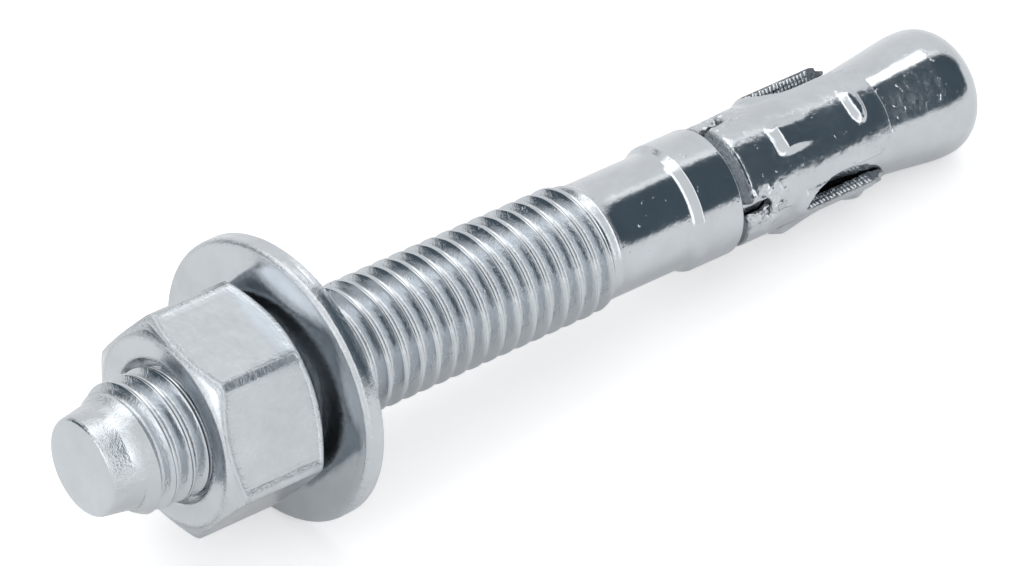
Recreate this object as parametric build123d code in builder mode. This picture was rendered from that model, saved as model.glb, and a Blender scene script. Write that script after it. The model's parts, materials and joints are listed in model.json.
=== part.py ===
"""Wedge anchor, 5/8 inch by 5 inch, in millimetres.

A turned stud with a threaded end, a raised collar and a tapered cone carries a wrapped
sheet expansion clip on its neck. A hex nut and a flat washer sit on the thread.

The anchor lies on a flat surface at z = 0, on the rim of its washer and on the widest
ring of its cone, with the threaded tip raised. The origin is below the middle of its
bounding box. +X runs along the anchor, from the threaded tip to the cone.

Places along the anchor are distances from the tip's end face. Turns about its axis are
counted from straight up, towards -Y.
"""

import os
from math import asin, atan2, cos, hypot, radians, sin, sqrt, tan

from build123d import *

os.makedirs("parts", exist_ok=True)

# Stud, from the threaded tip to the cone
overall_length = 127.0
tip_radius = 5.85
tip_edge_radius = 0.6
pilot_radius = 6.45
pilot_length = 3.9
thread_pitch = 25.4 / 11
thread_radius = 7.77
thread_lead_angle = 32.0
runout_turns = 0.65
shank_radius = 7.05
shank_length = 10.4
collar_radius = 7.72
collar_lead = 1.0
collar_lead_radius = 1.5
collar_length = 6.8
collar_edge_radius = 0.3
neck_radius = 5.9
neck_length = 16.3
neck_blend_radius = 12.0
cone_radius = 7.8
cone_length = 15.5
cone_blend_radius = 10.0
nose_length = 6.0
nose_radius = 4.5

# Hex nut
nut_start = 11.6
nut_across_flats = 23.81
nut_thickness = 13.3
nut_roll = 36.0
nut_face_share = 0.95
nut_chamfer_angle = 30.0
nut_countersink = 0.9
thread_clearance = 0.05

# Flat washer, hanging loose on the thread
washer_gap = 0.88
washer_radius = 17.2
washer_thickness = 2.3
washer_hole_play = 0.7
washer_rest_gap = 0.1
washer_tilt = 3.8
washer_front_edge_radius = 0.7
washer_back_edge_radius = 0.2

# Expansion clip: three tongues cut in a wrapped sheet
clip_gap = 0.3
clip_clearance = 0.1
clip_sheet = 1.5
clip_length = 22.8
clip_roll = 30.0
clip_edge_length = 1.4
clip_edge_depth = 0.75
clip_edge_radius = 0.3
clip_shoulder_radius = 2.0
tongue_length = 13.5
tongue_half_angle = 50.5
tongue_corner_length = 2.4
tongue_corner_width = 3.2
tongue_end_drop = 0.2
slot_angle = 21.5
slot_run = 6.0
notch_angle = 55.5
notch_width = 3.0
notch_depth = 4.1
notch_corner_radius = 1.0
seam_gap = 1.2

# Raised, serrated edges of the clip's two outer tongues
ear_height = 0.6
ear_thickness = 1.7
ear_bend_radius = 3.8
ear_fade_length = 2.6
serration_pitch = 0.52
serration_depth = 0.25
serration_count = 16
serration_inset = 0.8

# Bosses pressed into each tongue
boss_spacing = 116.0
boss_root = 0.05
wedge_turn = -1.0
wedge_start = 6.8
wedge_face_length = 0.9
wedge_ramp_length = 6.0
wedge_foot_width = 3.9
wedge_crest_width = 3.0
wedge_height = 0.8
rib_turn = -4.0
rib_boss_start = 17.2
rib_boss_length = 3.6
rib_boss_width = 5.4
rib_boss_height = 0.5
rib_crest_length = 1.1
rib_crest_width = 3.2

# How far a cutting shape runs past what it cuts
cut_margin = 1.0

# Places along the anchor. The thread takes the length that the rest of the stud leaves it.
thread_start = pilot_length + (thread_radius - pilot_radius) / tan(radians(thread_lead_angle))
cone_wide = overall_length - nose_length
neck_end = cone_wide - cone_length
collar_end = neck_end - neck_length
collar_start = collar_end - collar_length
runout_end = collar_start - shank_length
thread_end = runout_end - runout_turns * thread_pitch
clip_start = collar_end + clip_gap
clip_end = clip_start + clip_length
slot_start = clip_end - tongue_length
washer_middle = nut_start + nut_thickness + washer_gap + washer_thickness / 2

# Sizes that follow from the mating pieces
nut_bore_radius = thread_radius + thread_clearance
washer_hole_radius = thread_radius + washer_hole_play
washer_rise = washer_hole_play - washer_rest_gap
clip_bore_radius = neck_radius + clip_clearance
clip_radius = clip_bore_radius + clip_sheet

# The washer is turned a little about the upright. The anchor tilts until the washer's back
# rim and the cone's nose both touch z = 0.
rim_setback = (washer_thickness / 2 - washer_back_edge_radius) * cos(radians(washer_tilt))
rim_along = washer_middle + rim_setback
rim_out = washer_radius - washer_rise - washer_back_edge_radius
nose_along = overall_length - nose_radius
nose_out = cone_radius - nose_radius
reach = hypot(nose_along - rim_along, rim_out - nose_out)
lean = atan2(rim_out - nose_out, nose_along - rim_along)
lean += asin((washer_back_edge_radius - nose_radius) / reach)
tip_height = nose_along * sin(lean) + nose_out * cos(lean) + nose_radius
low_tip_x = tip_edge_radius * cos(lean) - (tip_radius - tip_edge_radius) * sin(lean) - tip_edge_radius
high_nose_x = nose_along * cos(lean) + nose_out * sin(lean) + nose_radius
tip_x = -(low_tip_x + high_nose_x) / 2

along = Vector(cos(lean), 0, -sin(lean))
upward = Vector(sin(lean), 0, cos(lean))
tip_point = Vector(tip_x, 0, tip_height)
axis = Axis(tip_point, along)


def outward(turn):
    """The direction square to the anchor's axis, turned from straight up towards -Y."""
    return upward * cos(radians(turn)) + Vector(0, -1, 0) * sin(radians(turn))


def lengthwise():
    """The upright plane through the axis: x runs along the anchor, y runs upward."""
    return Plane(origin=tip_point, x_dir=along, z_dir=along.cross(upward))


def across(place, turn=0.0):
    """The plane square to the axis at a place along it: x runs outward at the turn."""
    return Plane(origin=tip_point + along * place, x_dir=outward(turn), z_dir=along)


def tangent(turn, height, side=-1):
    """The plane over one side of the anchor: x runs along it. z runs outward, or inward
    with side 1, and y then runs towards larger turns."""
    out = outward(turn)
    return Plane(origin=tip_point + out * height, x_dir=along, z_dir=out * -side)


# Stud
with BuildPart() as stud:
    with BuildSketch(lengthwise()):
        with BuildLine():
            FilletPolyline(
                (0, 0),
                (0, tip_radius),
                (pilot_length, pilot_radius),
                (thread_start, thread_radius),
                (thread_end, thread_radius),
                (runout_end, shank_radius),
                (collar_start, shank_radius),
                (collar_start + collar_lead, collar_radius),
                (collar_end, collar_radius),
                (collar_end, neck_radius),
                (neck_end, neck_radius),
                (cone_wide, cone_radius),
                (overall_length, cone_radius),
                (overall_length, 0),
                radius=[
                    tip_edge_radius,
                    0,
                    0,
                    0,
                    0,
                    collar_lead_radius,
                    0,
                    collar_edge_radius,
                    0,
                    neck_blend_radius,
                    cone_blend_radius,
                    nose_radius,
                ],
            )
            Line((overall_length, 0), (0, 0))
        make_face()
    revolve(axis=axis)
stud.part.label = "stud"
export_step(stud.part, "parts/stud.step")

# Hex nut: a chamfered barrel with its bore, cut to a hexagon
with BuildPart() as hex_nut:
    nut_end = nut_start + nut_thickness
    nut_corner_radius = nut_across_flats / sqrt(3)
    nut_face_radius = nut_face_share * nut_across_flats / 2
    nut_slope = tan(radians(nut_chamfer_angle))
    nut_chamfer = (nut_corner_radius + cut_margin - nut_face_radius) * nut_slope
    with BuildSketch(lengthwise()):
        with BuildLine():
            Polyline(
                (nut_start, nut_bore_radius + nut_countersink),
                (nut_start, nut_face_radius),
                (nut_start + nut_chamfer, nut_corner_radius + cut_margin),
                (nut_end - nut_chamfer, nut_corner_radius + cut_margin),
                (nut_end, nut_face_radius),
                (nut_end, nut_bore_radius + nut_countersink),
                (nut_end - nut_countersink, nut_bore_radius),
                (nut_start + nut_countersink, nut_bore_radius),
                close=True,
            )
        make_face()
    revolve(axis=axis)
    with BuildSketch(across(nut_start)):
        RegularPolygon(radius=nut_corner_radius, side_count=6, rotation=nut_roll)
    extrude(amount=nut_thickness, mode=Mode.INTERSECT)
hex_nut.part.label = "hex_nut"
export_step(hex_nut.part, "parts/hex_nut.step")

# Flat washer: it lies on its rim, and its face is turned off square to the stud
with BuildPart() as flat_washer:
    washer_point = tip_point + along * washer_middle + upward * washer_rise
    washer_facing = along * cos(radians(washer_tilt)) - outward(90) * sin(radians(washer_tilt))
    half_thickness = washer_thickness / 2
    with BuildSketch(Plane(washer_point, washer_facing, washer_facing.cross(upward))):
        with BuildLine():
            FilletPolyline(
                (-half_thickness, washer_hole_radius),
                (-half_thickness, washer_radius),
                (half_thickness, washer_radius),
                (half_thickness, washer_hole_radius),
                radius=[washer_front_edge_radius, washer_back_edge_radius],
            )
            Line((half_thickness, washer_hole_radius), (-half_thickness, washer_hole_radius))
        make_face()
    revolve(axis=Axis(washer_point, washer_facing))
flat_washer.part.label = "flat_washer"
export_step(flat_washer.part, "parts/flat_washer.step")

# Expansion clip
with BuildPart() as expansion_clip:
    # The wrapped sheet's outside, bevelled towards the collar
    with BuildSketch(lengthwise()):
        with BuildLine():
            FilletPolyline(
                (clip_start, 0),
                (clip_start, clip_radius - clip_edge_depth),
                (clip_start + clip_edge_length, clip_radius),
                (clip_end - tongue_corner_length, clip_radius),
                (clip_end, clip_radius - tongue_end_drop),
                (clip_end, 0),
                radius=[clip_edge_radius, clip_shoulder_radius, 0, 0],
            )
            Line((clip_end, 0), (clip_start, 0))
        make_face()
    revolve(axis=axis)

    # The bent edges of the outer tongues stand out as ears
    ear_offset = clip_radius + ear_height - ear_bend_radius
    ear_start = slot_start - ear_fade_length
    ear_end = clip_end - tongue_corner_length
    for side in (-1, 1):
        ear_turn = clip_roll + side * (tongue_half_angle + slot_angle)
        ear_middle = tip_point + outward(ear_turn) * ear_offset
        with BuildSketch(Plane(ear_middle, along, along.cross(outward(ear_turn)))):
            with BuildLine():
                Polyline(
                    (ear_start, 0),
                    (ear_start, ear_bend_radius - 2 * ear_height),
                    (slot_start, ear_bend_radius),
                    (ear_end, ear_bend_radius),
                    (ear_end, 0),
                    close=True,
                )
            make_face()
        revolve(axis=Axis(ear_middle, along))

    # A wedge and a rib stand out of each tongue
    for tongue in (-1, 0, 1):
        tongue_turn = clip_roll + tongue * boss_spacing
        wedge_foot = sqrt(clip_radius**2 - (wedge_foot_width / 2) ** 2) - boss_root
        wedge_low = sqrt(clip_radius**2 - (wedge_crest_width / 2) ** 2) - boss_root
        wedge_crest = wedge_start + wedge_face_length
        wedge_sections = [
            (wedge_start, wedge_low),
            (wedge_crest, clip_radius + wedge_height),
            (wedge_crest + wedge_ramp_length, wedge_low),
        ]
        for place, top in wedge_sections:
            with BuildSketch(across(clip_start + place, tongue_turn + wedge_turn)):
                with BuildLine():
                    Polyline(
                        (wedge_foot, -wedge_foot_width / 2),
                        (top, -wedge_crest_width / 2),
                        (top, wedge_crest_width / 2),
                        (wedge_foot, wedge_foot_width / 2),
                        close=True,
                    )
                make_face()
        loft(ruled=True)

        rib_middle = clip_start + rib_boss_start + rib_boss_length / 2
        rib_foot = sqrt(clip_radius**2 - (rib_boss_width / 2) ** 2) - boss_root
        with BuildSketch(tangent(tongue_turn + rib_turn, rib_foot)):
            with Locations((rib_middle, 0)):
                Ellipse(rib_boss_length / 2, rib_boss_width / 2)
        with BuildSketch(tangent(tongue_turn + rib_turn, clip_radius + rib_boss_height)):
            with Locations((rib_middle, 0)):
                Ellipse(rib_crest_length / 2, rib_crest_width / 2)
        loft()

    # The bore follows the stud's neck and cone
    cone_slope = (cone_radius - neck_radius) / cone_length
    past_clip = clip_end + cut_margin
    with BuildSketch(lengthwise()):
        with BuildLine():
            Polyline(
                (clip_start - cut_margin, 0),
                (clip_start - cut_margin, clip_bore_radius),
                (neck_end, clip_bore_radius),
                (past_clip, clip_bore_radius + cone_slope * (past_clip - neck_end)),
                (past_clip, 0),
                close=True,
            )
        make_face()
    revolve(axis=axis, mode=Mode.SUBTRACT)

    cut_height = clip_radius + ear_height + cut_margin
    cut_depth = cut_height - cut_margin
    for side in (-1, 1):
        # Inside the ear
        ear_turn = clip_roll + side * (tongue_half_angle + slot_angle)
        ear_middle = tip_point + outward(ear_turn) * ear_offset
        with BuildSketch(Plane(ear_middle, along, along.cross(outward(ear_turn)))):
            with BuildLine():
                Polyline(
                    (slot_start, 0),
                    (slot_start, ear_bend_radius - ear_thickness),
                    (past_clip, ear_bend_radius - ear_thickness),
                    (past_clip, 0),
                    close=True,
                )
            make_face()
        revolve(axis=Axis(ear_middle, along), mode=Mode.SUBTRACT)

        # The slot beside the centre tongue, serrated on the ear's edge
        slot_turn = clip_roll + side * (tongue_half_angle + slot_angle / 2)
        ear_side = (clip_radius + ear_height) * sin(radians(slot_angle / 2))
        tongue_side = clip_radius * sin(radians(slot_angle / 2))
        teeth = [(ear_end, ear_side)]
        for count in range(serration_count, 0, -1):
            tooth = slot_start + serration_inset + count * serration_pitch
            teeth.append((tooth, ear_side))
            teeth.append((tooth - serration_pitch / 2, ear_side + serration_depth))
        teeth.append((slot_start + serration_inset, ear_side))
        teeth.append((slot_start, ear_side))
        with BuildSketch(tangent(slot_turn, cut_height, side)):
            with BuildLine():
                Polyline(*teeth)
                EllipticalCenterArc(
                    center=(slot_start + slot_run, ear_side),
                    x_radius=slot_run,
                    y_radius=ear_side + tongue_side,
                    start_angle=180,
                    arc_size=90,
                )
                Line((slot_start + slot_run, -tongue_side), (ear_end, -tongue_side))
                EllipticalCenterArc(
                    center=(ear_end, -tongue_side - tongue_corner_width),
                    x_radius=tongue_corner_length,
                    y_radius=tongue_corner_width,
                    start_angle=0,
                    arc_size=90,
                )
                Polyline(
                    (clip_end, -tongue_side - tongue_corner_width),
                    (past_clip, -tongue_side - tongue_corner_width),
                    (past_clip, ear_side + tongue_corner_width),
                    (clip_end, ear_side + tongue_corner_width),
                )
                EllipticalCenterArc(
                    center=(ear_end, ear_side + tongue_corner_width),
                    x_radius=tongue_corner_length,
                    y_radius=tongue_corner_width,
                    start_angle=270,
                    arc_size=90,
                )
            make_face()
        extrude(amount=side * cut_depth, mode=Mode.SUBTRACT)

        # A notch in the collar's end of the sheet
        with BuildSketch(tangent(clip_roll + side * notch_angle, cut_height, side)):
            with Locations((clip_start, 0)):
                RectangleRounded(2 * notch_depth, notch_width, notch_corner_radius)
        extrude(amount=side * cut_depth, mode=Mode.SUBTRACT)

    # The sheet's two ends meet at a seam behind the centre tongue
    with BuildSketch(tangent(clip_roll + 180, cut_height)):
        with Locations(((clip_start + clip_end) / 2, 0)):
            Rectangle(clip_length + 2 * cut_margin, seam_gap)
    extrude(amount=-cut_depth, mode=Mode.SUBTRACT)
expansion_clip.part.label = "expansion_clip"
export_step(expansion_clip.part, "parts/expansion_clip.step")
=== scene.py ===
"""Wedge anchor in bright zinc: threaded stud, wrapped expansion clip, hex nut and flat washer."""

import json
import math
from functools import partial

import bmesh
import bpy
from mathutils import Matrix, Quaternion, Vector, noise


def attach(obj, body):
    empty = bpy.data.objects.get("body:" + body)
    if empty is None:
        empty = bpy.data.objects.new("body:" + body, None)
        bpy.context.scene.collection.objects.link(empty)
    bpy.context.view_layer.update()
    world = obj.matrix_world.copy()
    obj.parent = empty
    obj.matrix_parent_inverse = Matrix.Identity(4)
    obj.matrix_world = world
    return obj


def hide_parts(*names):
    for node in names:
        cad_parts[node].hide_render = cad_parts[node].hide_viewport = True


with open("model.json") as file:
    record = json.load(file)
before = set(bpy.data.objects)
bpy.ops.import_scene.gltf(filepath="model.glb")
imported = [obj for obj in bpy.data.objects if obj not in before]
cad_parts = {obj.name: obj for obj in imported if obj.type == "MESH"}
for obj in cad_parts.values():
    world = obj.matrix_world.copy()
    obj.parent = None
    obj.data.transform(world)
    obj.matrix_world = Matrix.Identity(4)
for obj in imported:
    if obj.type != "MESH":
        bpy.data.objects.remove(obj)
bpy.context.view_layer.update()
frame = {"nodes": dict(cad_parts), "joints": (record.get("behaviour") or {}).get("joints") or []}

MM = 0.001
WELD = 0.002 * MM

# Stud, as distances from the tip's end face and radii about its axis
OVERALL_LENGTH = 127.0 * MM
TIP_RADIUS = 5.85 * MM
TIP_EDGE_RADIUS = 0.6 * MM
PILOT_RADIUS = 6.45 * MM
PILOT_END = 3.9 * MM
LEAD_SLOPE = math.tan(math.radians(32))
SHANK_RADIUS = 7.05 * MM
COLLAR_START = 82.4 * MM
COLLAR_LEAD_END = 83.4 * MM
COLLAR_LEAD_RADIUS = 1.5 * MM
COLLAR_TOP_RADIUS = 0.4 * MM
COLLAR_RADIUS = 7.72 * MM
COLLAR_END = 89.2 * MM
COLLAR_EDGE_RADIUS = 0.3 * MM
NECK_RADIUS = 5.9 * MM
NECK_END = 105.5 * MM
NECK_BLEND_RADIUS = 12.0 * MM
CONE_WIDE = 121.0 * MM
CONE_RADIUS = 7.8 * MM
CONE_BLEND_RADIUS = 10.0 * MM
CONE_SLOPE = (CONE_RADIUS - NECK_RADIUS) / (CONE_WIDE - NECK_END)
NOSE_RADIUS = 4.5 * MM
STUD_COLUMNS = 96
STUD_ROW_GAP = 1.5 * MM

# Thread
THREAD_PITCH = 25.4 / 11 * MM
CREST_RADIUS = 7.77 * MM
ROOT_RADIUS = 6.5 * MM
FADE_START = 69.6 * MM
RUNOUT_END = 72.0 * MM

# Nut, with its divisions along each stretch of its outline
NUT_START = 11.6 * MM
NUT_END = 24.9 * MM
NUT_FLAT = 23.81 / 2 * MM
NUT_FACE = 0.95 * NUT_FLAT
NUT_MOUTH = 8.72 * MM
NUT_CREST_PLAY = 0.06 * MM
NUT_ROOT_PLAY = 0.2 * MM
NUT_ROLL = 36.0
NUT_CHAMFER_SLOPE = math.tan(math.radians(30))
NUT_CORNER_RADIUS = 1.5 * MM
NUT_EDGE_RADIUS = 0.28 * MM
NUT_EDGE_UNEVEN = 0.5
NUT_EDGE_SPOTS = 9.0
NUT_DIVISIONS = (5, 1, 1, 1, 1, 3, 1, 1, 1, 1, 24, 1, 1, 1, 1, 3, 1, 1, 1, 1, 5)

# Washer
WASHER_MIDDLE = Vector((26.93, 0, 0.6)) * MM
WASHER_TILT = math.radians(3.8)
WASHER_HALF = 1.15 * MM
WASHER_RADIUS = 17.19 * MM
WASHER_HOLE = 8.47 * MM
WASHER_FRONT_EDGE = 0.7 * MM
WASHER_BACK_EDGE = 0.2 * MM
WASHER_COLUMNS = 160
WASHER_ROW_GAP = 1.2 * MM

# Clip. Its turns, in degrees, are counted both ways from the middle of its front tongue.
CLIP_START = 89.5 * MM
CLIP_END = 112.3 * MM
CLIP_RADIUS = 7.5 * MM
CLIP_BORE = 6.0 * MM
CLIP_ROLL = 30.0
CLIP_WELD = 0.0005 * MM
CLIP_VOXEL = 0.165 * MM
CLIP_SMOOTHING = 4

# Bosses on the clip: how far they stand out where their foot starts, how many rings of
# points round them are smoothed with them, and how often
BOSS_FOOT = 0.08 * MM
BOSS_MARGIN = 3
BOSS_PASSES = 28

# The bevel at the clip's front edge, roughened and darkened with painted shade, and the slots
# between its tongues
BEVEL_REACH = 1.5 * MM
BEVEL_FADE = 0.5 * MM
BEVEL_CUT_AND_SHADE = 1.3
SLOT_START = 98.8 * MM
SLOT_TURNS = (44.0, 80.0)
SLOT_MIDDLE = 61.25
SLOT_MARGIN = 1.0 * MM

# Faces of the clip count as sheared where they face this little outwards
CUT_FACING = 0.85
CUT_FACING_SPAN = 0.35
CUT_SKIN = 0.2 * MM

# Notches in the clip's front edge, with their torn lumps and bent outer lips
NOTCH_TURN = 55.5
NOTCH_REACH = 4.1 * MM
NOTCH_HALF = 1.5 * MM
LUMP_HEIGHT = 0.24 * MM
LUMP_REACH = 3.6 * MM
LUMP_SPOTS = 1.1
SMALL_LUMP_SPOTS = 2.7
LIP_EDGE = 0.6 * NOTCH_HALF
LIP_REACH = 3.2 * MM
LIP_SHIFT = 1.2 * MM
LIP_DROP = 0.5
LIP_LUMPS = 0.9

# Ears along the slots, and the ridges on their sheared edges
EAR_END = 109.9 * MM
EAR_TURN = 72.0
EAR_HALF_TURN = 26.0
EAR_CORNER = 0.9 * MM
EAR_DROP = 0.5
EAR_END_THINNING = 0.6
SERRATION_START = 99.6 * MM
SERRATION_COUNT = 18
SERRATION_PITCH = 0.52 * MM
SERRATION_LENGTH = 1.5 * MM
SERRATION_RADIUS = 0.24 * MM
SERRATION_SWING = math.radians(9)
SERRATION_WIDTHS = (0.35, 0.7)
SERRATION_HEIGHTS = (0.75, 1.0)
SERRATION_SIDES = 10
SERRATION_SEED = 5
SERRATION_PLACE_OUT = 7.13 * MM
SERRATION_PLACE_ASIDE = 1.53 * MM

# Zinc plating. Heights of marks are in mm.
ZINC_COLOUR = (0.545, 0.575, 0.605)
DULL_TONE = 0.94
CLEAR_TONE = 1.05
EDGE_MOTTLE = 0.06
EDGE_SPECK = 0.05
EDGE_ROUGHNESS = 0.05
# Painted shade: sheared faces and the clip's front bevel are darkened towards this colour, as if
# shade lay in the gaps beside them
CUT_SHADE_COLOUR = (0.12, 0.14, 0.16, 1)
CUT_SHADE_SHARE = 0.7
CUT_MOTTLE = 0.3
CUT_ROUGHNESS = 0.15

# Wear: how many degrees an edge must bend to show it in full, how far it spreads from there,
# how much of it each piece has, and how far and how much hammer blows have knocked the tip
EDGE_LIMIT = 24.0
NUT_EDGE_LIMIT = 6.0
WASHER_EDGE_LIMIT = 16.0
CLIP_EDGE_LIMIT = 30.0
EDGE_REACH = 0.35 * MM
EDGE_SPREADS = 4
NUT_WEAR = 2.2
WASHER_WEAR = 1.5
PILOT_WEAR = 0.2
CREST_WEAR = 0.15
ROOT_WEAR = 1.2
KNOCKED_START = 0.3 * MM
KNOCKED_LENGTH = 11.0 * MM
KNOCK_SPOTS = 0.5
KNOCK_LEVEL = 0.4
KNOCK_WEAR = 2.8

# Floor, as a half side in metres and as what it adds to its own shade
FLOOR_HALF = 4.0
FLOOR_COLOUR = (0.8, 0.8, 0.8, 1)
FLOOR_TO_CAMERA = 0.42
FLOOR_IN_METAL = 0.12

# Camera, with its place in metres and its lens in mm
CAMERA_PLACE = Vector((-0.529377, -0.658811, 0.773077))
CAMERA_VIEW = Vector((0.464023, 0.579937, -0.669593))
CAMERA_ROLL = math.radians(0.035)
CAMERA_LENS = 351.5625
CAMERA_SENSOR = 36.0

# The anchor's axis, from the joint that the clip turns about
clip_turn = next(joint for joint in frame["joints"] if joint["name"] == "clip_turn")
along = Vector(clip_turn["axis"]).normalized()
lean = math.atan2(-along.z, along.x)
tip_point = Vector(clip_turn["pos_m"]) - along * CLIP_START
anchor_place = Matrix.Translation(tip_point) @ Matrix.Rotation(lean, 4, "Y")


# Node helpers


def add_node(tree, kind, inputs=None, **settings):
    """Adds a node. An input is a value, or the socket that feeds it."""
    node = tree.nodes.new(kind)
    for name, value in settings.items():
        setattr(node, name, value)
    for key, value in (inputs or {}).items():
        if isinstance(value, bpy.types.NodeSocket):
            tree.links.new(value, node.inputs[key])
        else:
            node.inputs[key].default_value = value
    return node


def maths(tree, operation, *values, clamp=False):
    """The output of a Math node."""
    node = add_node(tree, "ShaderNodeMath", dict(enumerate(values)), operation=operation)
    node.use_clamp = clamp
    return node.outputs[0]


def attribute(tree, table, row, name):
    """The value that a table mesh holds under a name, at a row."""
    field = add_node(tree, "GeometryNodeInputNamedAttribute", {"Name": name}, data_type="FLOAT")
    sample = add_node(
        tree,
        "GeometryNodeSampleIndex",
        {"Geometry": table, "Value": field.outputs["Attribute"], "Index": row},
        data_type="FLOAT",
        domain="POINT",
        clamp=True,
    )
    return sample.outputs["Value"]


def new_tree(name, numbers, sizes):
    """A geometry tree, and its named inputs: whole numbers, sizes and a material."""
    tree = bpy.data.node_groups.new(name, "GeometryNodeTree")
    face = tree.interface
    face.new_socket("Geometry", in_out="INPUT", socket_type="NodeSocketGeometry")
    for label in numbers:
        face.new_socket(label, in_out="INPUT", socket_type="NodeSocketInt")
    for label in sizes:
        face.new_socket(label, in_out="INPUT", socket_type="NodeSocketFloat")
    face.new_socket("Finish", in_out="INPUT", socket_type="NodeSocketMaterial")
    face.new_socket("Geometry", in_out="OUTPUT", socket_type="NodeSocketGeometry")
    return tree, tree.nodes.new("NodeGroupInput").outputs


def end_tree(tree, shape, finish):
    """Ends a tree: its instances become real and take the finish."""
    real = add_node(tree, "GeometryNodeRealizeInstances", {"Geometry": shape})
    inputs = {"Geometry": real.outputs[0], "Material": finish}
    plated = add_node(tree, "GeometryNodeSetMaterial", inputs)
    add_node(tree, "NodeGroupOutput", {0: plated.outputs[0]})


def run_tree(name, source, tree, sizes):
    """The mesh that a tree makes of a source mesh and its named inputs."""
    holder = bpy.data.objects.new(name, source)
    bpy.context.scene.collection.objects.link(holder)
    modifier = holder.modifiers.new("Shape", "NODES")
    modifier.node_group = tree
    for item in tree.interface.items_tree:
        if item.in_out == "INPUT" and item.name in sizes:
            modifier[item.identifier] = sizes[item.name]
    depsgraph = bpy.context.evaluated_depsgraph_get()
    mesh = bpy.data.meshes.new_from_object(holder.evaluated_get(depsgraph), depsgraph=depsgraph)
    bpy.data.objects.remove(holder)
    bpy.data.meshes.remove(source)
    return mesh


# Turned and threaded surfaces


def helix_tree(name, is_bore):
    """A surface of revolution whose thread rows follow the helix. The object's own mesh is a
    table: a point's attributes give a row of the surface, and the turn of a column."""
    sizes = (
        "Pitch",
        "Crest radius",
        "Root radius",
        "Thread start",
        "Thread end",
        "Start radius",
        "Start slope",
        "End radius",
        "Fade start",
    )
    tree, given = new_tree(name, ("Rows", "Columns"), sizes)
    calc = partial(maths, tree)

    grid = add_node(
        tree,
        "GeometryNodeMeshGrid",
        {
            "Size X": 1.0,
            "Size Y": 1.0,
            "Vertices X": given["Rows"],
            "Vertices Y": calc("ADD", given["Columns"], 1.0),
        },
    )
    spot = tree.nodes.new("GeometryNodeInputPosition").outputs[0]
    spot = add_node(tree, "ShaderNodeSeparateXYZ", {0: spot}).outputs
    last_row = calc("SUBTRACT", given["Rows"], 1.0)
    row = calc("ROUND", calc("MULTIPLY", calc("ADD", spot["X"], 0.5), last_row))
    column = calc("ROUND", calc("MULTIPLY", calc("ADD", spot["Y"], 0.5), given["Columns"]))

    table = given["Geometry"]
    turn = attribute(tree, table, column, "turn")
    on_helix = attribute(tree, table, row, "on_helix")
    plain_place = attribute(tree, table, row, "place")
    plain_radius = attribute(tree, table, row, "radius")
    crest_share = attribute(tree, table, row, "crest_share")

    advance = calc("MULTIPLY", calc("DIVIDE", turn, math.tau), given["Pitch"])
    sheared = calc("ADD", plain_place, calc("MULTIPLY", advance, on_helix))
    ends = {"Value": sheared, "Min": given["Thread start"], "Max": given["Thread end"]}
    held = add_node(tree, "ShaderNodeClamp", ends).outputs[0]
    choice = {"Factor": on_helix, "A": plain_place, "B": held}
    place = add_node(tree, "ShaderNodeMix", choice, data_type="FLOAT").outputs[0]

    height = calc("SUBTRACT", given["Crest radius"], given["Root radius"])
    cut = calc("ADD", given["Root radius"], calc("MULTIPLY", height, crest_share))
    from_start = calc("SUBTRACT", place, given["Thread start"])
    lead_rise = calc("MULTIPLY", from_start, given["Start slope"])
    lead = calc("ADD", given["Start radius"], lead_rise)
    to_end = calc("SUBTRACT", given["Thread end"], place)
    if is_bore:
        trail_rise = calc("MULTIPLY", to_end, given["Start slope"])
        trail = calc("ADD", given["End radius"], trail_rise)
        thread = calc("MAXIMUM", cut, calc("MAXIMUM", lead, trail))
    else:
        fade_length = calc("SUBTRACT", given["Thread end"], given["Fade start"])
        fade = calc("DIVIDE", to_end, fade_length, clamp=True)
        rise = calc("MULTIPLY", calc("SUBTRACT", cut, given["End radius"]), fade)
        thread = calc("MINIMUM", calc("ADD", given["End radius"], rise), lead)
    choice = {"Factor": on_helix, "A": plain_radius, "B": thread}
    radius = add_node(tree, "ShaderNodeMix", choice, data_type="FLOAT").outputs[0]

    side = calc("MULTIPLY", calc("MULTIPLY", radius, calc("SINE", turn)), -1.0)
    up = calc("MULTIPLY", radius, calc("COSINE", turn))
    position = add_node(tree, "ShaderNodeCombineXYZ", {"X": place, "Y": side, "Z": up})
    inputs = {"Geometry": grid.outputs["Mesh"], "Position": position.outputs[0]}
    turned = add_node(tree, "GeometryNodeSetPosition", inputs)
    inputs = {"Geometry": turned.outputs[0], "Distance": WELD}
    welded = add_node(tree, "GeometryNodeMergeByDistance", inputs)
    end_tree(tree, welded.outputs[0], given["Finish"])
    return tree


def thread_profile():
    """Pairs of pitch share and crest share for one turn of a rolled thread."""
    half = [
        (0.0, 0.93),
        (0.03, 0.94),
        (0.06, 0.965),
        (0.085, 0.995),
        (0.1, 1.0),
        (0.118, 0.985),
        (0.14, 0.93),
        (0.26, 0.50),
        (0.37, 0.14),
        (0.41, 0.05),
        (0.45, 0.01),
        (0.5, 0.0),
    ]
    return half + [(1 - place, share) for place, share in half[-2:0:-1]]


def thread_rows(start, end):
    """Rows on the helix that cover a thread from start to end at every turn."""
    rows = []
    first = math.floor(start / THREAD_PITCH) - 2
    last = math.ceil(end / THREAD_PITCH) + 1
    for count in range(first, last):
        for place, share in thread_profile():
            rows.append(((count + place) * THREAD_PITCH, 0.0, 1.0, share))
    return rows


def plain_rows(points):
    """Rows that are turned without a thread."""
    return [(place, radius, 0.0, 0.0) for place, radius in points]


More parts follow.
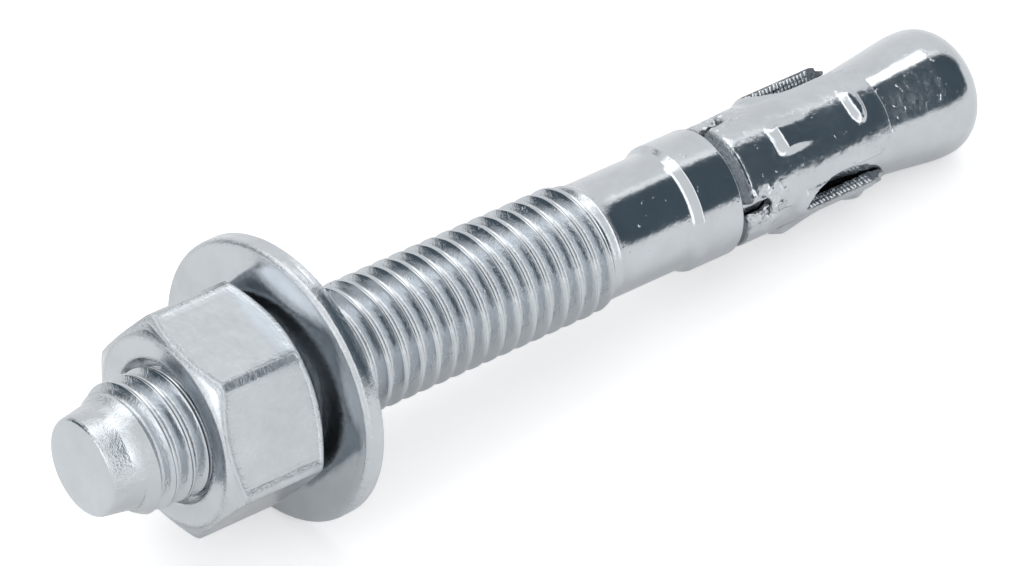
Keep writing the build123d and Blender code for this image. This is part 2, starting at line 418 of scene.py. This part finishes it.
def run_helix(name, rows, turns, tree, sizes, finish):
    """Runs a helix tree on a table of rows and column turns, and gives its mesh."""
    count = max(len(rows), len(turns))
    table = bpy.data.meshes.new(name)
    table.from_pydata([(0, 0, 0)] * count, [], [])
    columns = {
        "place": [row[0] for row in rows],
        "radius": [row[1] for row in rows],
        "on_helix": [row[2] for row in rows],
        "crest_share": [row[3] for row in rows],
        "turn": turns,
    }
    for label, values in columns.items():
        layer = table.attributes.new(label, "FLOAT", "POINT")
        layer.data.foreach_set("value", list(values) + [0.0] * (count - len(values)))
    sizes = {"Rows": len(rows), "Columns": len(turns) - 1, **sizes, "Finish": finish}
    mesh = run_tree(name, table, tree, sizes)
    for layer in [layer for layer in mesh.attributes if layer.name in columns]:
        mesh.attributes.remove(layer)
    return mesh


def rounded(points, radii, steps=5):
    """A polyline's points, with an arc of each given radius at its inner corners."""
    made = [points[0]]
    for before, corner, after, radius in zip(points, points[1:], points[2:], radii):
        a, b, c = Vector(before), Vector(corner), Vector(after)
        to_a, to_c = (a - b).normalized(), (c - b).normalized()
        half = to_a.angle(to_c) / 2
        if radius <= 0 or half > math.radians(89.9):
            made.append(corner)
            continue
        reach = radius / math.tan(half)
        middle = b + (to_a + to_c).normalized() * radius / math.sin(half)
        start, end = b + to_a * reach - middle, b + to_c * reach - middle
        sweep = start.angle(end)
        for step in range(steps + 1):
            share = step / steps
            arm = start * math.sin((1 - share) * sweep) + end * math.sin(share * sweep)
            made.append(tuple(middle + arm / math.sin(sweep)))
    made.append(points[-1])
    return made


def divided(points, counts):
    """The same polyline, with each stretch in a given number of equal parts."""
    made = [points[0]]
    for start, end, count in zip(points, points[1:], counts):
        a, b = Vector(start), Vector(end)
        made += [tuple(a.lerp(b, step / count)) for step in range(1, count + 1)]
    return made


def spread(points, gap):
    """The same polyline, with no stretch longer than gap."""
    lengths = [(Vector(b) - Vector(a)).length for a, b in zip(points, points[1:])]
    return divided(points, [max(1, math.ceil(length / gap)) for length in lengths])


def turned_column(line, turn):
    """A line of places and radii as points at one turn about the plain axis."""
    return [(place, -r * math.sin(turn), r * math.cos(turn)) for place, r in line]


def add_columns(shape, columns):
    """Joins columns of points into a closed band of faces."""
    made = [[shape.verts.new(point) for point in column] for column in columns]
    for left, right in zip(made, made[1:] + made[:1]):
        for a, b, c, d in zip(left, right, right[1:], left[1:]):
            shape.faces.new((a, b, c, d))


def mark_edges(mesh, limit, wear):
    """Writes how near a sharp bend each point is, from 0 to the wear, as its edge attribute."""
    shape = bmesh.new()
    shape.from_mesh(mesh)
    marks = [0.0] * len(shape.verts)
    limit = math.radians(limit)
    pairs = []
    for edge in shape.edges:
        a, b = edge.verts
        pairs.append((a.index, b.index, math.exp(-edge.calc_length() / EDGE_REACH)))
        bend = min(1.0, edge.calc_face_angle(0.0) / limit) ** 2
        marks[a.index] = max(marks[a.index], bend)
        marks[b.index] = max(marks[b.index], bend)
    for _ in range(EDGE_SPREADS):
        before = marks[:]
        for a, b, share in pairs:
            marks[a] = max(marks[a], before[b] * share)
            marks[b] = max(marks[b], before[a] * share)
    shape.free()
    marks = [mark * wear for mark in marks]
    mesh.attributes.new("edge", "FLOAT", "POINT").data.foreach_set("value", marks)


def finished(name, mesh, body, finish, node, edge_limit=EDGE_LIMIT, wear=1.0):
    """Places a mesh made about the plain axis, and gives its object to a body."""
    mesh.transform(anchor_place)
    mesh.materials.clear()
    mesh.materials.append(finish)
    shape = bmesh.new()
    shape.from_mesh(mesh)
    bmesh.ops.recalc_face_normals(shape, faces=shape.faces)
    shape.to_mesh(mesh)
    shape.free()
    mesh.shade_smooth()
    mark_edges(mesh, edge_limit, wear)
    piece = bpy.data.objects.new(name, mesh)
    bpy.context.scene.collection.objects.link(piece)
    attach(piece, body)
    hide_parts(node)


# Materials


def zinc(name, roughness, wave, mottle, speck, grain, ding):
    """Zinc plating: cloudy colour, uneven gloss, and dents and marks with heights in mm. The
    edge attribute of a piece roughens its edges, and its cut attribute roughens its sheared
    faces and darkens them with painted shade."""
    finish = bpy.data.materials.new(name)
    finish.use_nodes = True
    tree = finish.node_tree
    tree.nodes.clear()
    calc = partial(maths, tree)
    where = add_node(tree, "ShaderNodeTexCoord").outputs["Object"]
    in_mm = {"Vector": where, "Rotation": (0.0, -lean, 0.0), "Scale": (1 / MM,) * 3}
    on_axis = add_node(tree, "ShaderNodeMapping", in_mm).outputs[0]

    def noise_of(scale, detail, coarse, stretch=None):
        """Noise with about as many spots per mm as its scale."""
        vector = on_axis
        if stretch:
            inputs = {"Vector": on_axis, "Scale": stretch}
            vector = add_node(tree, "ShaderNodeMapping", inputs).outputs[0]
        inputs = {"Vector": vector, "Scale": scale, "Detail": detail, "Roughness": coarse}
        return add_node(tree, "ShaderNodeTexNoise", inputs).outputs["Fac"]

    def ramp(value, start, end, low, high):
        """Goes from low to high while a value goes from start to end."""
        ends = {"From Min": start, "From Max": end, "To Min": low, "To Max": high}
        return add_node(tree, "ShaderNodeMapRange", {"Value": value, **ends}).outputs[0]

    edge = add_node(tree, "ShaderNodeAttribute", attribute_name="edge").outputs["Fac"]
    cut = add_node(tree, "ShaderNodeAttribute", attribute_name="cut").outputs["Fac"]
    cloud = noise_of(0.22, 3.0, 0.6)
    waves = noise_of(0.4, 2.0, 0.5)
    mottles = noise_of(1.5, 3.0, 0.6)
    specks = noise_of(4.5, 3.0, 0.65)
    lathe_marks = noise_of(1.0, 3.0, 0.7, (7.0, 0.3, 0.3))
    dents = ramp(noise_of(0.9, 2.0, 0.7), 0.665, 0.765, 0.0, 1.0)

    patchy = ramp(cloud, 0.4, 0.62, 0.5, 1.5)
    torn = calc("MULTIPLY_ADD", cut, CUT_MOTTLE, calc("MULTIPLY", patchy, mottle))
    mottle_size = calc("MULTIPLY_ADD", edge, EDGE_MOTTLE, torn)
    speck_size = calc("MULTIPLY_ADD", edge, EDGE_SPECK, calc("MULTIPLY", patchy, speck))
    height = calc("MULTIPLY", waves, wave)
    for pattern, size in (
        (mottles, mottle_size),
        (specks, speck_size),
        (lathe_marks, grain),
        (dents, ding),
    ):
        height = calc("ADD", height, calc("MULTIPLY", pattern, size))
    bumps = {"Height": height, "Strength": 1.0, "Distance": MM}
    bumped = add_node(tree, "ShaderNodeBump", bumps).outputs[0]

    clouded = {
        "Fac": ramp(cloud, 0.3, 0.7, 0.0, 1.0),
        "Color1": (*[channel * DULL_TONE for channel in ZINC_COLOUR], 1),
        "Color2": (*[channel * CLEAR_TONE for channel in ZINC_COLOUR], 1),
    }
    tone = add_node(tree, "ShaderNodeMixRGB", clouded).outputs[0]
    # Painted shade: where the cut attribute is high, the colour is darkened towards the cut shade
    # colour
    painted_cut_shade = {"Fac": calc("MULTIPLY", cut, CUT_SHADE_SHARE), "Color1": tone, "Color2": CUT_SHADE_COLOUR}
    colour = add_node(tree, "ShaderNodeMixRGB", painted_cut_shade).outputs[0]
    worn = calc("MULTIPLY_ADD", edge, EDGE_ROUGHNESS, calc("MULTIPLY", cut, CUT_ROUGHNESS))
    gloss = calc("ADD", worn, ramp(mottles, 0.3, 0.7, roughness * 0.8, roughness * 1.25))
    surface = add_node(
        tree,
        "ShaderNodeBsdfPrincipled",
        {"Base Color": colour, "Metallic": 1.0, "Roughness": gloss, "Normal": bumped},
    )
    add_node(tree, "ShaderNodeOutputMaterial", {"Surface": surface.outputs[0]})
    return finish


bright_zinc = zinc(
    "bright_zinc", 0.12, wave=0.03, mottle=0.012, speck=0.004, grain=0.002, ding=0.03
)
satin_zinc = zinc(
    "satin_zinc", 0.18, wave=0.03, mottle=0.003, speck=0.0003, grain=0.0, ding=0.004
)
sheet_zinc = zinc(
    "sheet_zinc", 0.16, wave=0.1, mottle=0.024, speck=0.005, grain=0.0, ding=0.03
)


# Stud


def wear_stud(mesh):
    """Marks the wear of the thread, most at its roots, and of the tip, which is knocked."""
    marks = mesh.attributes["edge"].data
    to_axis = anchor_place.inverted()
    for point in mesh.vertices:
        at = to_axis @ point.co
        if at.x < KNOCKED_START or at.x > RUNOUT_END:
            continue
        depth = (CREST_RADIUS - math.hypot(at.y, at.z)) / (CREST_RADIUS - ROOT_RADIUS)
        wear = PILOT_WEAR
        if at.x > PILOT_END:
            wear = CREST_WEAR + ROOT_WEAR * min(1.0, max(0.0, depth)) ** 2
        spots = max(0.0, KNOCK_LEVEL + noise.noise(at / MM * KNOCK_SPOTS))
        knocks = max(0.0, 1 - at.x / KNOCKED_LENGTH) * spots
        marks[point.index].value = max(wear, KNOCK_WEAR * knocks)


tip_line = rounded([(0, 0), (0, TIP_RADIUS), (PILOT_END, PILOT_RADIUS)], [TIP_EDGE_RADIUS])
body_corners = [
    (RUNOUT_END, SHANK_RADIUS),
    (COLLAR_START, SHANK_RADIUS),
    (COLLAR_LEAD_END, COLLAR_RADIUS),
    (COLLAR_END, COLLAR_RADIUS),
    (COLLAR_END, NECK_RADIUS),
    (NECK_END, NECK_RADIUS),
    (CONE_WIDE, CONE_RADIUS),
    (OVERALL_LENGTH, CONE_RADIUS),
    (OVERALL_LENGTH, 0),
]
body_radii = [
    COLLAR_LEAD_RADIUS,
    COLLAR_TOP_RADIUS,
    COLLAR_EDGE_RADIUS,
    0,
    NECK_BLEND_RADIUS,
    CONE_BLEND_RADIUS,
    NOSE_RADIUS,
]
body_line = rounded(body_corners, body_radii, steps=10)
stud_rows = (
    plain_rows(spread(tip_line, STUD_ROW_GAP))
    + thread_rows(PILOT_END, RUNOUT_END)
    + plain_rows(spread(body_line, STUD_ROW_GAP))
)
stud_turns = [math.tau * count / STUD_COLUMNS for count in range(STUD_COLUMNS + 1)]
stud_sizes = {
    "Pitch": THREAD_PITCH,
    "Crest radius": CREST_RADIUS,
    "Root radius": ROOT_RADIUS,
    "Thread start": PILOT_END,
    "Thread end": RUNOUT_END,
    "Start radius": PILOT_RADIUS,
    "Start slope": LEAD_SLOPE,
    "End radius": SHANK_RADIUS,
    "Fade start": FADE_START,
}
stud_tree = helix_tree("Threaded stud", False)
stud_mesh = run_helix("threaded_stud", stud_rows, stud_turns, stud_tree, stud_sizes, bright_zinc)
finished("threaded_stud", stud_mesh, "stud", bright_zinc, "stud")
wear_stud(stud_mesh)


# Nut


def nut_turns():
    """Column turns, closer together at the hexagon's corners."""
    offsets = [0.0, 0.45, 0.9, 1.35, 1.8, 2.4, 3.4, 5.0]
    offsets += [5.0 + 2.5 * step for step in range(1, 11)]
    sector = offsets + [60.0 - offset for offset in offsets[-2:0:-1]]
    turns = [NUT_ROLL + 60.0 * corner + offset for corner in range(6) for offset in sector]
    return [math.radians(turn) for turn in turns + [NUT_ROLL + 360.0]]


def hexagon_radius(turn):
    """How far out the nut's side is, with its long edges rounded."""
    from_corner = (math.degrees(turn) - NUT_ROLL + 30.0) % 60.0 - 30.0
    from_corner = math.radians(abs(from_corner))
    flat = NUT_FLAT / math.cos(math.radians(30) - from_corner)
    centre = (NUT_FLAT - NUT_CORNER_RADIUS) / math.cos(math.radians(30))
    across = centre * math.sin(from_corner)
    if across > NUT_CORNER_RADIUS * math.sin(math.radians(30)):
        return flat
    arc = centre * math.cos(from_corner) + math.sqrt(NUT_CORNER_RADIUS**2 - across**2)
    return min(flat, arc)


def nut_outside(turns):
    """The nut's faces, chamfers and sides, as columns of points about the plain axis."""
    columns = []
    for turn in turns[:-1]:
        out = hexagon_radius(turn)
        spot = Vector((math.cos(turn), math.sin(turn), 0.3)) * NUT_EDGE_SPOTS
        edge = NUT_EDGE_RADIUS * (1.0 + NUT_EDGE_UNEVEN * noise.noise(spot))
        drop = (out - NUT_FACE) * NUT_CHAMFER_SLOPE
        corners = [
            (NUT_START, NUT_MOUTH),
            (NUT_START, NUT_FACE),
            (NUT_START + drop, out),
            (NUT_END - drop, out),
            (NUT_END, NUT_FACE),
            (NUT_END, NUT_MOUTH),
        ]
        line = divided(rounded(corners, [edge] * 4, steps=4), NUT_DIVISIONS)
        columns.append(turned_column(line, turn))
    return columns


hex_turns = nut_turns()
bore_sizes = {
    "Pitch": THREAD_PITCH,
    "Crest radius": CREST_RADIUS + NUT_CREST_PLAY,
    "Root radius": ROOT_RADIUS + NUT_ROOT_PLAY,
    "Thread start": NUT_START,
    "Thread end": NUT_END,
    "Start radius": NUT_MOUTH,
    "Start slope": -1.0,
    "End radius": NUT_MOUTH,
    "Fade start": 0.0,
}
bore_rows = thread_rows(NUT_START, NUT_END)
bore_tree = helix_tree("Threaded bore", True)
nut_mesh = run_helix("threaded_nut", bore_rows, hex_turns, bore_tree, bore_sizes, satin_zinc)
nut_shape = bmesh.new()
nut_shape.from_mesh(nut_mesh)
add_columns(nut_shape, nut_outside(hex_turns))
bmesh.ops.remove_doubles(nut_shape, verts=nut_shape.verts, dist=WELD)
nut_shape.to_mesh(nut_mesh)
nut_shape.free()
finished(
    "threaded_nut",
    nut_mesh,
    "nut",
    satin_zinc,
    "hex_nut",
    edge_limit=NUT_EDGE_LIMIT,
    wear=NUT_WEAR,
)


# Washer

washer_corners = [
    (-WASHER_HALF, WASHER_HOLE),
    (-WASHER_HALF, WASHER_RADIUS),
    (WASHER_HALF, WASHER_RADIUS),
    (WASHER_HALF, WASHER_HOLE),
]
washer_line = rounded(washer_corners, [WASHER_FRONT_EDGE, WASHER_BACK_EDGE], steps=6)
washer_line = spread(washer_line, WASHER_ROW_GAP)
washer_line += [(WASHER_HALF * (1 - step / 2), WASHER_HOLE) for step in range(1, 4)]
washer_line.append(washer_line[0])
washer_turns = [math.tau * count / WASHER_COLUMNS for count in range(WASHER_COLUMNS)]
washer_mesh = bpy.data.meshes.new("washer_disc")
washer_shape = bmesh.new()
add_columns(washer_shape, [turned_column(washer_line, turn) for turn in washer_turns])
bmesh.ops.remove_doubles(washer_shape, verts=washer_shape.verts, dist=WELD)
washer_shape.to_mesh(washer_mesh)
washer_shape.free()
washer_mesh.transform(Matrix.Translation(WASHER_MIDDLE) @ Matrix.Rotation(WASHER_TILT, 4, "Z"))
finished(
    "washer_disc",
    washer_mesh,
    "washer",
    satin_zinc,
    "flat_washer",
    edge_limit=WASHER_EDGE_LIMIT,
    wear=WASHER_WEAR,
)


# Clip: the stamped sheet, its edges softened by rolling and plating


def turn_on_clip(point):
    """A point's turn from the middle of the clip's front tongue, from -180 to 180 degrees."""
    turn = math.degrees(math.atan2(-point.co.y, point.co.z)) - CLIP_ROLL
    return (turn + 180) % 360 - 180


def softened_clip():
    """A copy of the clip's solid, remeshed so that its edges and bosses round over."""
    source = frame["nodes"]["expansion_clip"].data.copy()
    source.transform(anchor_place.inverted())
    source.transform(Matrix.Scale(1 / MM, 4))
    shape = bmesh.new()
    shape.from_mesh(source)
    bmesh.ops.remove_doubles(shape, verts=shape.verts, dist=CLIP_WELD / MM)
    shape.to_mesh(source)
    shape.free()
    holder = bpy.data.objects.new("clip_source", source)
    bpy.context.scene.collection.objects.link(holder)
    remesh = holder.modifiers.new("Remesh", "REMESH")
    remesh.mode = "VOXEL"
    remesh.voxel_size = CLIP_VOXEL / MM
    smooth = holder.modifiers.new("Smooth", "SMOOTH")
    smooth.factor = 0.5
    smooth.iterations = CLIP_SMOOTHING
    depsgraph = bpy.context.evaluated_depsgraph_get()
    mesh = bpy.data.meshes.new_from_object(holder.evaluated_get(depsgraph), depsgraph=depsgraph)
    bpy.data.objects.remove(holder)
    bpy.data.meshes.remove(source)
    mesh.transform(Matrix.Scale(MM, 4))
    return mesh


def soften_bosses(mesh):
    """Rounds over the pressed bosses, which stand out from the sheet between its slots."""
    shape = bmesh.new()
    shape.from_mesh(mesh)
    raised = set()
    for point in shape.verts:
        place, radius = point.co.x, math.hypot(point.co.y, point.co.z)
        sheet = CLIP_RADIUS + max(0.0, place - NECK_END) * CONE_SLOPE
        on_ear = abs(abs(turn_on_clip(point)) - EAR_TURN) < EAR_HALF_TURN
        if radius > sheet + BOSS_FOOT and not on_ear and place > CLIP_START + NOTCH_REACH:
            raised.add(point)
    for _ in range(BOSS_MARGIN):
        raised |= {edge.other_vert(point) for point in raised for edge in point.link_edges}
    everywhere = {"use_axis_x": True, "use_axis_y": True, "use_axis_z": True}
    for _ in range(BOSS_PASSES):
        bmesh.ops.smooth_vert(shape, verts=list(raised), factor=0.5, **everywhere)
    shape.to_mesh(mesh)
    shape.free()


def mark_cuts_and_shade(mesh):
    """Marks the sheet's sheared edges, and the bevel at its front, as its cut attribute, which
    roughens them and darkens them with painted shade.
    """
    marks = []
    for point in mesh.vertices:
        place, out = point.co.x, Vector((0, point.co.y, point.co.z))
        turn = abs(turn_on_clip(point))
        facing = abs(point.normal.dot(out.normalized()))
        share = min(1.0, max(0.0, (CUT_FACING - facing) / CUT_FACING_SPAN))
        in_slot = place > SLOT_START - SLOT_MARGIN and SLOT_TURNS[0] < turn < SLOT_TURNS[1]
        # The front bevel gets more than a full share, so that its painted shade reads as a dark
        # groove
        if place < CLIP_START + BEVEL_REACH:
            share = BEVEL_CUT_AND_SHADE * min(1.0, (CLIP_START + BEVEL_REACH - place) / BEVEL_FADE)
        elif not in_slot and out.length > CLIP_RADIUS - CUT_SKIN:
            share = 0.0
        marks.append(share)
    mesh.attributes.new("cut", "FLOAT", "POINT").data.foreach_set("value", marks)


def tear_notches(mesh):
    """Bends the outer lip of the two notches in the clip's front edge in and down, and leaves
    lumps on the sheet round them, where the punch tore it."""
    for point in mesh.vertices:
        place, radius = point.co.x, math.hypot(point.co.y, point.co.z)
        turn = turn_on_clip(point)
        side = math.copysign(1, turn)
        aside = math.radians(abs(turn) - NOTCH_TURN) * CLIP_RADIUS
        beyond = max(0.0, place - CLIP_START - NOTCH_REACH)
        near = max(0.0, 1 - math.hypot(beyond, aside) / LUMP_REACH)
        at = point.co / MM
        lump = noise.noise(at * LUMP_SPOTS) + 0.5 * noise.noise(at * SMALL_LUMP_SPOTS)
        radius += LUMP_HEIGHT * lump * min(1.0, near * 2)
        if aside > LIP_EDGE:
            lip = math.hypot(beyond, max(0.0, aside - NOTCH_HALF))
            lip = max(0.0, 1 - lip / LIP_REACH)
            lip = lip * lip * (3 - 2 * lip)
            radius -= LIP_DROP * lip * (radius - CLIP_BORE) * (1 + LIP_LUMPS * lump)
            turn -= side * math.degrees(LIP_SHIFT * lip / CLIP_RADIUS)
        angle = math.radians(turn + CLIP_ROLL)
        point.co = Vector((place, -radius * math.sin(angle), radius * math.cos(angle)))


def round_ears(mesh):
    """Takes the step off the ends of the two ears, and thins the sheet's end behind them."""
    for point in mesh.vertices:
        place, out = point.co.x, Vector((0, point.co.y, point.co.z))
        from_ear = abs(abs(turn_on_clip(point)) - EAR_TURN)
        radius = out.length
        if from_ear > EAR_HALF_TURN or place < EAR_END - EAR_CORNER:
            continue
        if place < EAR_END:
            share = (place - EAR_END + EAR_CORNER) / EAR_CORNER
            above = max(0.0, radius - CLIP_RADIUS)
            radius -= above * EAR_DROP * share**2
        else:
            share = (place - EAR_END) / (CLIP_END - EAR_END)
            inner = CLIP_BORE + (place - NECK_END) * CONE_SLOPE
            radius -= max(0.0, radius - inner) * EAR_END_THINNING * share
        point.co = Vector((place, *(out.normalized() * radius).yz))


def ridge_tree():
    """A row of small bars with rounded sides, each a little different."""
    tree, given = new_tree("Ridges", ("Count", "Seed"), ("Pitch", "Length", "Radius", "Swing"))
    step = add_node(tree, "ShaderNodeCombineXYZ", {"X": given["Pitch"]}).outputs[0]
    inputs = {"Count": given["Count"], "Offset": step}
    line = add_node(tree, "GeometryNodeMeshLine", inputs).outputs[0]
    bar = add_node(
        tree,
        "GeometryNodeMeshCylinder",
        {"Vertices": SERRATION_SIDES, "Radius": given["Radius"], "Depth": given["Length"]},
    )

    def chance(low, high):
        """A random value for each bar."""
        inputs = {"Seed": given["Seed"]}
        node = add_node(tree, "FunctionNodeRandomValue", inputs, data_type="FLOAT")
        floats = [socket for socket in node.inputs if socket.type == "VALUE"]
        for socket, value in zip(floats, (low, high)):
            if isinstance(value, float):
                socket.default_value = value
            else:
                tree.links.new(value, socket)
        return next(socket for socket in node.outputs if socket.type == "VALUE")

    swing = chance(maths(tree, "MULTIPLY", given["Swing"], -1.0), given["Swing"])
    turned = add_node(tree, "ShaderNodeCombineXYZ", {"Y": swing}).outputs[0]
    size = {"X": 1.0, "Y": chance(*SERRATION_WIDTHS), "Z": chance(*SERRATION_HEIGHTS)}
    grown = add_node(tree, "ShaderNodeCombineXYZ", size).outputs[0]
    inputs = {"Points": line, "Instance": bar.outputs["Mesh"], "Rotation": turned, "Scale": grown}
    row = add_node(tree, "GeometryNodeInstanceOnPoints", inputs)
    end_tree(tree, row.outputs[0], given["Finish"])
    return tree


def serrations():
    """The ridges on the sheared edges of the clip's two ears."""
    tree = ridge_tree()
    both = bmesh.new()
    for side in (-1, 1):
        sizes = {
            "Count": SERRATION_COUNT,
            "Seed": SERRATION_SEED + side,
            "Pitch": SERRATION_PITCH,
            "Length": SERRATION_LENGTH,
            "Radius": SERRATION_RADIUS,
            "Swing": SERRATION_SWING,
            "Finish": sheet_zinc,
        }
        row = run_tree("clip_serrations", bpy.data.meshes.new("row"), tree, sizes)
        middle = math.radians(CLIP_ROLL + side * SLOT_MIDDLE)
        out = Vector((0, -math.sin(middle), math.cos(middle)))
        around = Vector((0, -math.cos(middle), -math.sin(middle)))
        start = Vector((SERRATION_START, 0, 0)) + out * SERRATION_PLACE_OUT
        start += around * side * SERRATION_PLACE_ASIDE
        columns = (Vector((1, 0, 0)), around, out, start)
        row.transform(Matrix([[column[i] for column in columns] for i in range(3)] + [[0, 0, 0, 1]]))
        both.from_mesh(row)
        bpy.data.meshes.remove(row)
    mesh = bpy.data.meshes.new("clip_serrations")
    both.to_mesh(mesh)
    both.free()
    return mesh


clip_mesh = softened_clip()
soften_bosses(clip_mesh)
mark_cuts_and_shade(clip_mesh)
tear_notches(clip_mesh)
round_ears(clip_mesh)
finished(
    "wrapped_clip",
    clip_mesh,
    "clip",
    sheet_zinc,
    "expansion_clip",
    edge_limit=CLIP_EDGE_LIMIT,
)
finished("clip_serrations", serrations(), "clip", sheet_zinc, "expansion_clip")


# Floor, light and camera


def studio_floor():
    """A pale floor that keeps the anchor's shadow. It shows white to the camera, and pale grey
    in the metal."""
    finish = bpy.data.materials.new("pale_floor")
    finish.use_nodes = True
    tree = finish.node_tree
    tree.nodes.clear()
    path = add_node(tree, "ShaderNodeLightPath").outputs
    mirrored = maths(tree, "MAXIMUM", path["Is Glossy Ray"], path["Is Transmission Ray"])
    in_metal = maths(tree, "MULTIPLY", mirrored, FLOOR_IN_METAL)
    shown = maths(tree, "MULTIPLY_ADD", path["Is Camera Ray"], FLOOR_TO_CAMERA, in_metal)
    matt = add_node(tree, "ShaderNodeBsdfDiffuse", {"Color": FLOOR_COLOUR})
    glow = add_node(tree, "ShaderNodeEmission", {"Color": (1, 1, 1, 1), "Strength": shown})
    both = add_node(tree, "ShaderNodeAddShader", {0: matt.outputs[0], 1: glow.outputs[0]})
    add_node(tree, "ShaderNodeOutputMaterial", {"Surface": both.outputs[0]})
    mesh = bpy.data.meshes.new("floor")
    corners = [(x * FLOOR_HALF, y * FLOOR_HALF, 0) for x, y in ((-1, -1), (1, -1), (1, 1), (-1, 1))]
    mesh.from_pydata(corners, [], [(0, 1, 2, 3)])
    mesh.materials.append(finish)
    floor = bpy.data.objects.new("floor", mesh)
    bpy.context.scene.collection.objects.link(floor)


def band(tree, value, low, high, soft):
    """1 where a value lies between low and high, with soft ends."""
    rise = {"Value": value, "From Min": low - soft, "From Max": low + soft}
    fall = {"Value": value, "From Min": high - soft, "From Max": high + soft}
    fall.update({"To Min": 1.0, "To Max": 0.0})
    soft_step = partial(add_node, tree, "ShaderNodeMapRange", interpolation_type="SMOOTHSTEP")
    return maths(tree, "MULTIPLY", soft_step(rise).outputs[0], soft_step(fall).outputs[0])


def studio_world():
    """A pale tent round the anchor, with a dark opening above and bright strips beside it."""
    world = bpy.data.worlds.new("studio")
    bpy.context.scene.world = world
    world.use_nodes = True
    tree = world.node_tree
    tree.nodes.clear()
    direction = add_node(tree, "ShaderNodeTexCoord").outputs["Generated"]

    def towards(axis):
        """How far a direction goes along an axis."""
        inputs = {0: direction, 1: tuple(axis)}
        node = add_node(tree, "ShaderNodeVectorMath", inputs, operation="DOT_PRODUCT")
        return node.outputs["Value"]

    upward = Vector((math.sin(lean), 0, math.cos(lean)))
    off_axis = maths(tree, "ARCCOSINE", towards(along))
    turn = maths(tree, "ARCTAN2", towards((0, -1, 0)), towards(upward))

    def area(turns, turn_soft, angles, angle_soft):
        """1 in one patch of the sky, by turn about the axis and angle off it, in degrees."""
        low, high, first, last = map(math.radians, turns + angles)
        across = band(tree, turn, low, high, math.radians(turn_soft))
        lengthways = band(tree, off_axis, first, last, math.radians(angle_soft))
        return maths(tree, "MULTIPLY", across, lengthways)

    every_turn = (-400, 400)
    pale = (1.0, 1.0, 1.0, 1)
    light = (1.3, 1.3, 1.3, 1)
    white = (2.0, 2.0, 2.0, 1)
    clear = (2.2, 2.2, 2.2, 1)
    bright = (3.0, 3.0, 3.0, 1)
    dusk = (0.085, 0.115, 0.14, 1)
    patches = [
        (area((-9, 79), 3, (20, 76), 0.7), dusk),
        (area((-20, -10), 3, (50, 62), 2), light),
        (area((-26, -9), 2, (63, 92), 1.5), bright),
        (area((-24, 90), 4, (75, 96), 0.5), white),
        (area((-38, -10), 3, (90, 138), 4), clear),
        (area((-125, -55), 6, (102, 150), 3), dusk),
        (area(every_turn, 1, (159, 200), 3), white),
    ]
    sky = pale
    for share, colour in patches:
        layer = {"Fac": share, "Color1": sky, "Color2": colour}
        sky = add_node(tree, "ShaderNodeMixRGB", layer).outputs[0]
    is_camera = add_node(tree, "ShaderNodeLightPath").outputs["Is Camera Ray"]
    behind = {"Fac": is_camera, "Color1": sky, "Color2": pale}
    seen = add_node(tree, "ShaderNodeMixRGB", behind).outputs[0]
    background = add_node(tree, "ShaderNodeBackground", {"Color": seen, "Strength": 1.0})
    add_node(tree, "ShaderNodeOutputWorld", {"Surface": background.outputs[0]})


def photo_camera():
    """The camera at the photo's viewing angle."""
    data = bpy.data.cameras.new("camera")
    data.sensor_width = CAMERA_SENSOR
    data.lens = CAMERA_LENS
    data.clip_start = 0.01
    data.clip_end = 20.0
    camera = bpy.data.objects.new("camera", data)
    camera.location = CAMERA_PLACE
    turned = CAMERA_VIEW.to_track_quat("-Z", "Y") @ Quaternion((0, 0, 1), CAMERA_ROLL)
    camera.rotation_euler = turned.to_euler()
    bpy.context.scene.collection.objects.link(camera)
    bpy.context.scene.camera = camera


studio_floor()
studio_world()
photo_camera()
bpy.context.scene.view_settings.view_transform = "Standard"
